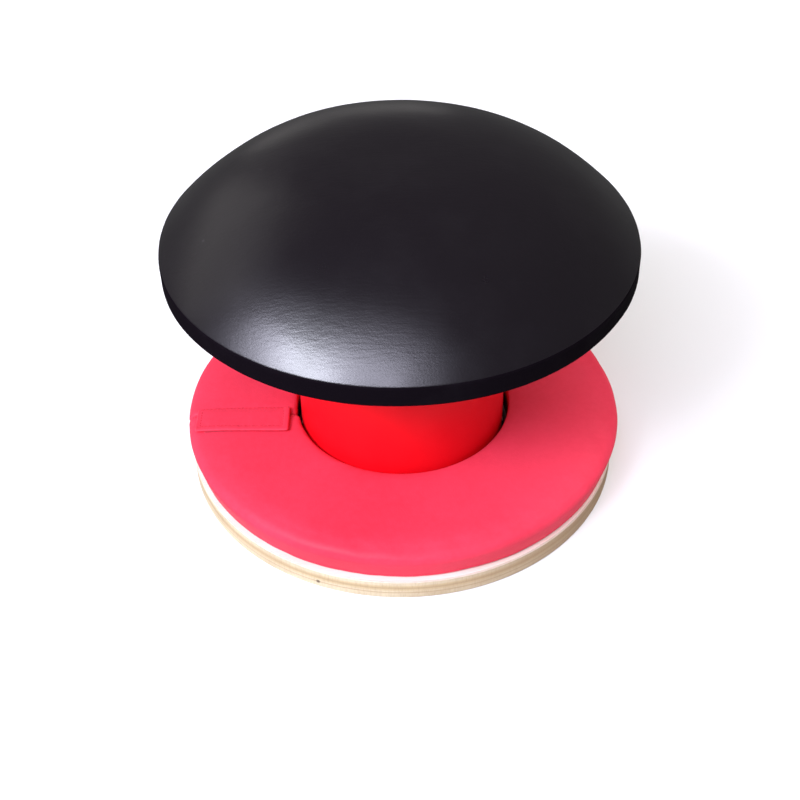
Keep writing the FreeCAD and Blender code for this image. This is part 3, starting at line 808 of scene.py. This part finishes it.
def height_over(pad):
    """A function that gives the pad's top at a place, carried level across its split and rounded edges."""
    mesh = pad.data
    tree = BVHTree.FromPolygons([v.co for v in mesh.vertices], [tuple(f.vertices) for f in mesh.polygons])
    clear, low_r, high_r = 11 * MM, PAD_HOLE_R + 6 * MM, PAD_R - 8.5 * MM

    def cast(x, y):
        away = Vector((x - PAD_CENTRE.x, y - PAD_CENTRE.y))
        away *= min(high_r, max(low_r, away.length)) / away.length
        above = Vector((PAD_CENTRE.x + away.x, PAD_CENTRE.y + away.y, 1))
        hit, *_ = tree.ray_cast(above, Vector((0, 0, -1)))
        return hit.z

    def height(x, y):
        share = (y - SPLIT_Y + clear) / (2 * clear)
        if 0 < share < 1:
            return cast(x, SPLIT_Y - clear) * (1 - share) + cast(x, SPLIT_Y + clear) * share
        return cast(x, y)

    return height


def eased(t):
    """Spaces a row of points closer together towards both of its ends."""
    return 0.5 - 0.5 * math.cos(math.pi * t) * (1 - 0.35 * math.sin(math.pi * t))


def rounded_slab(name, low, high, corner_r, step, top, bottom, material):
    """A thin sheet over a rectangle with rounded corners.

    top and bottom give its heights at (x, y, distance from the nearest edge).
    """
    columns, rows = math.ceil((high[0] - low[0]) / step), math.ceil((high[1] - low[1]) / step)
    upper, lower = [], []
    for j in range(rows + 1):
        for i in range(columns + 1):
            u, v = eased(i / columns), eased(j / rows)
            x, y = low[0] + (high[0] - low[0]) * u, low[1] + (high[1] - low[1]) * v
            dx, dy = min(x - low[0], high[0] - x), min(y - low[1], high[1] - y)
            if dx < corner_r and dy < corner_r:                # pull the corner onto a quarter circle
                cx = low[0] + corner_r if u < 0.5 else high[0] - corner_r
                cy = low[1] + corner_r if v < 0.5 else high[1] - corner_r
                ex, ey = x - cx, y - cy
                if ex or ey:
                    share = max(abs(ex), abs(ey)) / math.hypot(ex, ey)
                    x, y = cx + ex * share, cy + ey * share
            edge = min(dx, dy)
            upper.append((x, y, top(x, y, edge)))
            lower.append((x, y, bottom(x, y, edge)))
    n, w = len(upper), columns + 1
    faces = grid_faces(rows + 1, w)
    faces += [[f + n for f in face[::-1]] for face in grid_faces(rows + 1, w)]
    rim = (list(range(w)) + [j * w + columns for j in range(1, rows + 1)]
           + [rows * w + i for i in range(columns - 1, -1, -1)] + [j * w for j in range(rows - 1, 0, -1)])
    faces += [[b, a, a + n, b + n] for a, b in zip(rim, rim[1:] + rim[:1])]
    return add_mesh(name, upper + lower, faces, material)


def closure(pad, leather, thread_material, loop_material, hook_material):
    """The flap over the pad's split with its two tapes, hems and stitching."""
    ground = height_over(pad)
    x0, x1, y0, y1 = FLAP_LOW.x, FLAP_HIGH.x, FLAP_LOW.y, FLAP_HIGH.y
    hem, fold = 5.2 * MM, ((0, y1 - 3 * MM, 0), (0, y1 - 12 * MM, 0))

    def hemmed(x, y):
        """Distance in from the two hemmed edges, the near one and the end by the column."""
        return min(x1 - x, y - y0)

    def raised(x):
        """The end by the column stands up a little."""
        return 0.5 * MM * math.exp(-((x1 - x) / (6 * MM)) ** 2)

    def skewed(piece):
        """The near edge isn't cut quite square: narrower at the outer end."""
        for vertex in piece.data.vertices:
            x, y = vertex.co.x, vertex.co.y
            vertex.co.y += (y1 - y) / (y1 - y0) * (1.8 * MM - 2.8 * MM * (x - x0) / (x1 - x0))
        return piece

    def top(x, y, edge):
        inset = hemmed(x, y)
        ridge = 0.45 * MM / (1 + math.exp((inset - hem) / (0.35 * MM)))
        groove = 0.30 * MM * math.exp(-((inset - hem) / (0.75 * MM)) ** 2)
        roll = 1.0 * MM * max(0.0, 1 - edge / (1.2 * MM)) ** 2
        pucker = 0.10 * MM * math.sin(TURN * x / (7 * MM)) * math.exp(-((inset - hem) / (3 * MM)) ** 2)
        soft = 0.30 * MM * unevenness((x, y, 0), 20 * MM, 17)
        rise = 2.55 * MM - 0.9 * MM * max(0.0, 1 - (y1 - y) / (9 * MM)) ** 2
        return ground(x, y) + rise + raised(x) + ridge - groove - roll + pucker + soft

    def bottom(x, y, edge):
        from_seam = y1 - y
        lifted = 1.15 * MM + 0.35 * MM * max(0.0, 1 - hemmed(x, y) / (3 * MM)) + raised(x)
        pressed = 0.3 * MM * max(0.0, 1 - from_seam / (4 * MM))
        return ground(x, y) + lifted * min(1.0, from_seam / (6 * MM)) - pressed

    corner_r, step = 2.5 * MM, 0.75 * MM
    strap = skewed(rounded_slab("flap_strap", (x0, y0), (x1, y1), corner_r, step, top, bottom, leather))
    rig.blend(strap, "ring_pad", "flap", start=fold[0], end=fold[1])
    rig.replaces(strap, "closure_flap")
    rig.slot(strap, "coral_cover")

    tape_low, tape_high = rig.box("loop_strip")

    def pile(name, low, high, material):
        """A tape between two heights over the pad, in millimetres, worn down at its edge."""
        def face(x, y, edge):
            worn = 0.2 * MM if edge < 0.6 * MM else 0.0
            return ground(x, y) + high * MM - worn + 0.05 * MM * unevenness((x, y, high), 1.6 * MM, 21)

        def back(x, y, edge):
            return ground(x, y) + low * MM

        return rounded_slab(name, tape_low, tape_high, 1.0 * MM, 1.0 * MM, face, back, material)

    tapes = [pile("loop_tape_pile", -0.5, 0.55, loop_material),
             pile("hook_tape_pile", 0.6, 1.3, hook_material)]
    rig.ride(tapes[0], "ring_pad")
    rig.blend(tapes[1], "ring_pad", "flap", start=fold[0], end=fold[1])
    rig.replaces(tapes[0], "loop_strip")
    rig.replaces(tapes[1], "hook_strip")
    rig.slot(tapes[0], "loop_tape")
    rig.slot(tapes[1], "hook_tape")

    def seat(x, y):
        return top(x, y, 1) - 0.22 * MM

    runs = [("flap_stitches_near", (x0 + 4 * MM, y0 + hem), (x1 - hem, y0 + hem)),
            ("flap_stitches_left", (x0 + 4 * MM, y0 + hem), (x0 + 4 * MM, y1 - 3 * MM)),
            ("flap_stitches_right", (x1 - hem, y0 + hem), (x1 - hem, y1 - 3 * MM)),
            ("flap_stitches_far", (x0 + 3 * MM, y1 - 2.2 * MM), (x1 - 3 * MM, y1 - 2.2 * MM))]
    for name, start, end in runs:
        row = skewed(stitch_row(name, start, end, seat, thread_material))
        if name.endswith("far"):
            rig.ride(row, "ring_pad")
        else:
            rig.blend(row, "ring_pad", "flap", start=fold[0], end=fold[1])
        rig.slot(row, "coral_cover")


def stitch_row(name, start, end, seat, material):
    """Short, slightly arched stitches in a row, on a surface whose height seat gives."""
    pitch, length, radius = 3.3 * MM, 2.5 * MM, 0.33 * MM
    count = int(math.dist(start, end) / pitch)
    direction = Vector((end[0] - start[0], end[1] - start[1], 0)).normalized()
    side = Vector((-direction.y, direction.x, 0))
    rings, sides = 7, 8
    points, faces = [], []
    for k in range(count):
        middle = Vector((*start, 0)) + direction * pitch * (k + 0.5)
        middle.z = seat(middle.x, middle.y)
        first = len(points)
        for i in range(rings):
            s = -1 + 2 * i / (rings - 1)
            arch = radius * 1.2 * (1 - s * s)
            width = radius * math.sqrt(max(0.05, 1 - 0.9 * s ** 4))
            for j in range(sides):
                a = TURN * j / sides
                points.append(middle + direction * s * length / 2 + side * width * math.cos(a)
                              + Vector((0, 0, arch + width * math.sin(a) * 0.8)))
        faces += grid_faces(rings, sides, wrap_columns=True, first=first)
        last = first + (rings - 1) * sides
        faces += [list(range(first, first + sides)), list(range(last + sides - 1, last - 1, -1))]
    return add_mesh(name, points, faces, material)


# ---- stage --------------------------------------------------------------------------------------
def area_light(name, azimuth, elevation, distance, size, radiance, colour=(1, 1, 1)):
    """A soft box on a sphere round the head. Azimuth 0 is in front and positive to the right."""
    aim = Vector((0, 0, 0.2))
    light = bpy.data.lights.new(name, "AREA")
    light.shape, light.size, light.size_y = "RECTANGLE", size[0], size[1]
    light.energy, light.color = radiance * math.pi * size[0] * size[1], colour
    a, e = math.radians(azimuth), math.radians(elevation)
    back = Vector((math.sin(a) * math.cos(e), -math.cos(a) * math.cos(e), math.sin(e)))
    lamp = bpy.data.objects.new(name, light)
    lamp.location = aim + back * distance
    lamp.rotation_mode = "QUATERNION"
    lamp.rotation_quaternion = (-back).to_track_quat("-Z", "Y")
    bpy.context.scene.collection.objects.link(lamp)
    return lamp


def stage():
    """A pale floor and soft boxes for windows and walls. Fills and floor stay out of reflections."""
    half = 6.0
    floor = add_mesh("floor", [(-half, -half, 0), (half, -half, 0), (half, half, 0), (-half, half, 0)],
                     [[0, 1, 2, 3]], floor_paint(), smooth=False)
    floor.location.z = BOARD_LOW.z - 0.2 * MM
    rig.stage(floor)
    world = bpy.data.worlds.new("studio")
    world.use_nodes = True
    world.node_tree.nodes["Background"].inputs["Color"].default_value = (1.0, 1.0, 1.0, 1)
    world.node_tree.nodes["Background"].inputs["Strength"].default_value = 0.14
    bpy.context.scene.world = world
    cool, cooler, warm = (0.84, 0.87, 1.0), (0.82, 0.81, 1.0), (1.0, 0.97, 0.94)
    # azimuth, elevation, distance, (width, height), radiance, colour
    area_light("window_far_left", -65, 35, 3.2, (1.0, 0.7), 18, cooler)
    area_light("window_left", -46, 39, 3.2, (1.2, 0.75), 28.5, cool)
    area_light("window_right", -17, 45.5, 3.2, (1.9, 0.75), 14, cooler)
    area_light("wall_left", -122, 28, 2.2, (2.0, 1.3), 0.55, warm)
    area_light("wall_back", -172, 4, 2.6, (1.3, 0.5), 0.4, warm)
    fill = area_light("fill", 122, 52, 2.8, (2.0, 2.0), 3.8, warm)
    sky = area_light("sky", 0, 90, 3.4, (6.0, 6.0), 0.5)
    fill.visible_glossy = sky.visible_glossy = floor.visible_glossy = False
    bpy.context.scene.view_settings.view_transform = "Standard"


def camera():
    """Looks down at the pad from the front, as the part lies on its back."""
    distance, elevation, focal = 1.1357, math.radians(42.93), 58.5
    aim = Vector((-0.0016, 0, 0.0459))
    roll = math.radians(-1.0)
    data = bpy.data.cameras.new("camera")
    data.lens, data.sensor_width = focal, 36
    cam = bpy.data.objects.new("camera", data)
    cam.location = (0, -distance * math.cos(elevation), distance * math.sin(elevation))
    look = (aim - cam.location).to_track_quat("-Z", "Y")
    cam.rotation_mode = "QUATERNION"
    cam.rotation_quaternion = look @ Matrix.Rotation(roll, 4, "Z").to_quaternion()
    bpy.context.scene.collection.objects.link(cam)
    bpy.context.scene.camera = cam


def paint_nodes(materials):
    """Gives each CAD node that stays its material: its own, or the fasteners' and fittings' steel."""
    for name, node in frame["nodes"].items():
        material = materials.get(name) or materials["staple" if name.endswith("staples") else "zinc"]
        node.data.materials.clear()
        node.data.materials.append(material)


def main():
    camera()
    stage()
    knot_angle = math.radians(248)
    knot = (BOARD_HIGH.x * math.cos(knot_angle), BOARD_HIGH.x * math.sin(knot_angle), BOARD_LOW.z + 6 * MM)
    materials = {
        "backboard": plywood("board_ply", BOARD_LOW.z, BOARD_HIGH.z, shade_r=100 * MM, knot=knot),
        "column_plug": plywood("plug_ply", PLUG_LOW.z, PLUG_HIGH.z),
        "target_board": plywood("target_ply", TARGET_BOARD_LOW.z, TARGET_BOARD_HIGH.z),
        "firm_foam_disc": foam("firm_foam", (0.05, 0.05, 0.055), (0.03, 0.03, 0.033), 1100),
        "zinc": zinc(),
        "staple": staple_steel(),
    }
    paint_nodes(materials)

    face_leather = black_leather("black_leather", gloss=0.27, dull=0.35, shine=0.62)
    band_leather = black_leather("black_leather_band", gloss=0.6, dull=0.7, shine=0.03)
    target_skin(face_leather, band_leather)
    target_lining(woven("black_lining", (0.035, 0.035, 0.037), (0.012, 0.012, 0.013), 1100, 0.00018))

    column_foam = foam("column_foam", (0.85, 0.83, 0.74), (0.76, 0.70, 0.55), 800)
    column_pieces(red_vinyl(), column_foam, painted_steel())

    pad = pad_skin(coral_leather("pad_leather", hole_shade=True))
    loop_tape = woven("loop_tape", (0.72, 0.04, 0.09), (0.5, 0.02, 0.05), 900, 0.0004)
    hook_tape = woven("hook_tape", (0.66, 0.04, 0.08), (0.42, 0.02, 0.04), 600, 0.0005)
    coral_thread = thread("coral_thread", (0.77, 0.032, 0.062))
    closure(pad, coral_leather("coral_leather"), coral_thread, loop_tape, hook_tape)


main()
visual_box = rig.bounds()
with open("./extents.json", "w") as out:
    json.dump({"cad": [list(c) for c in CAD_BOX], "visual": [list(c) for c in visual_box]}, out)
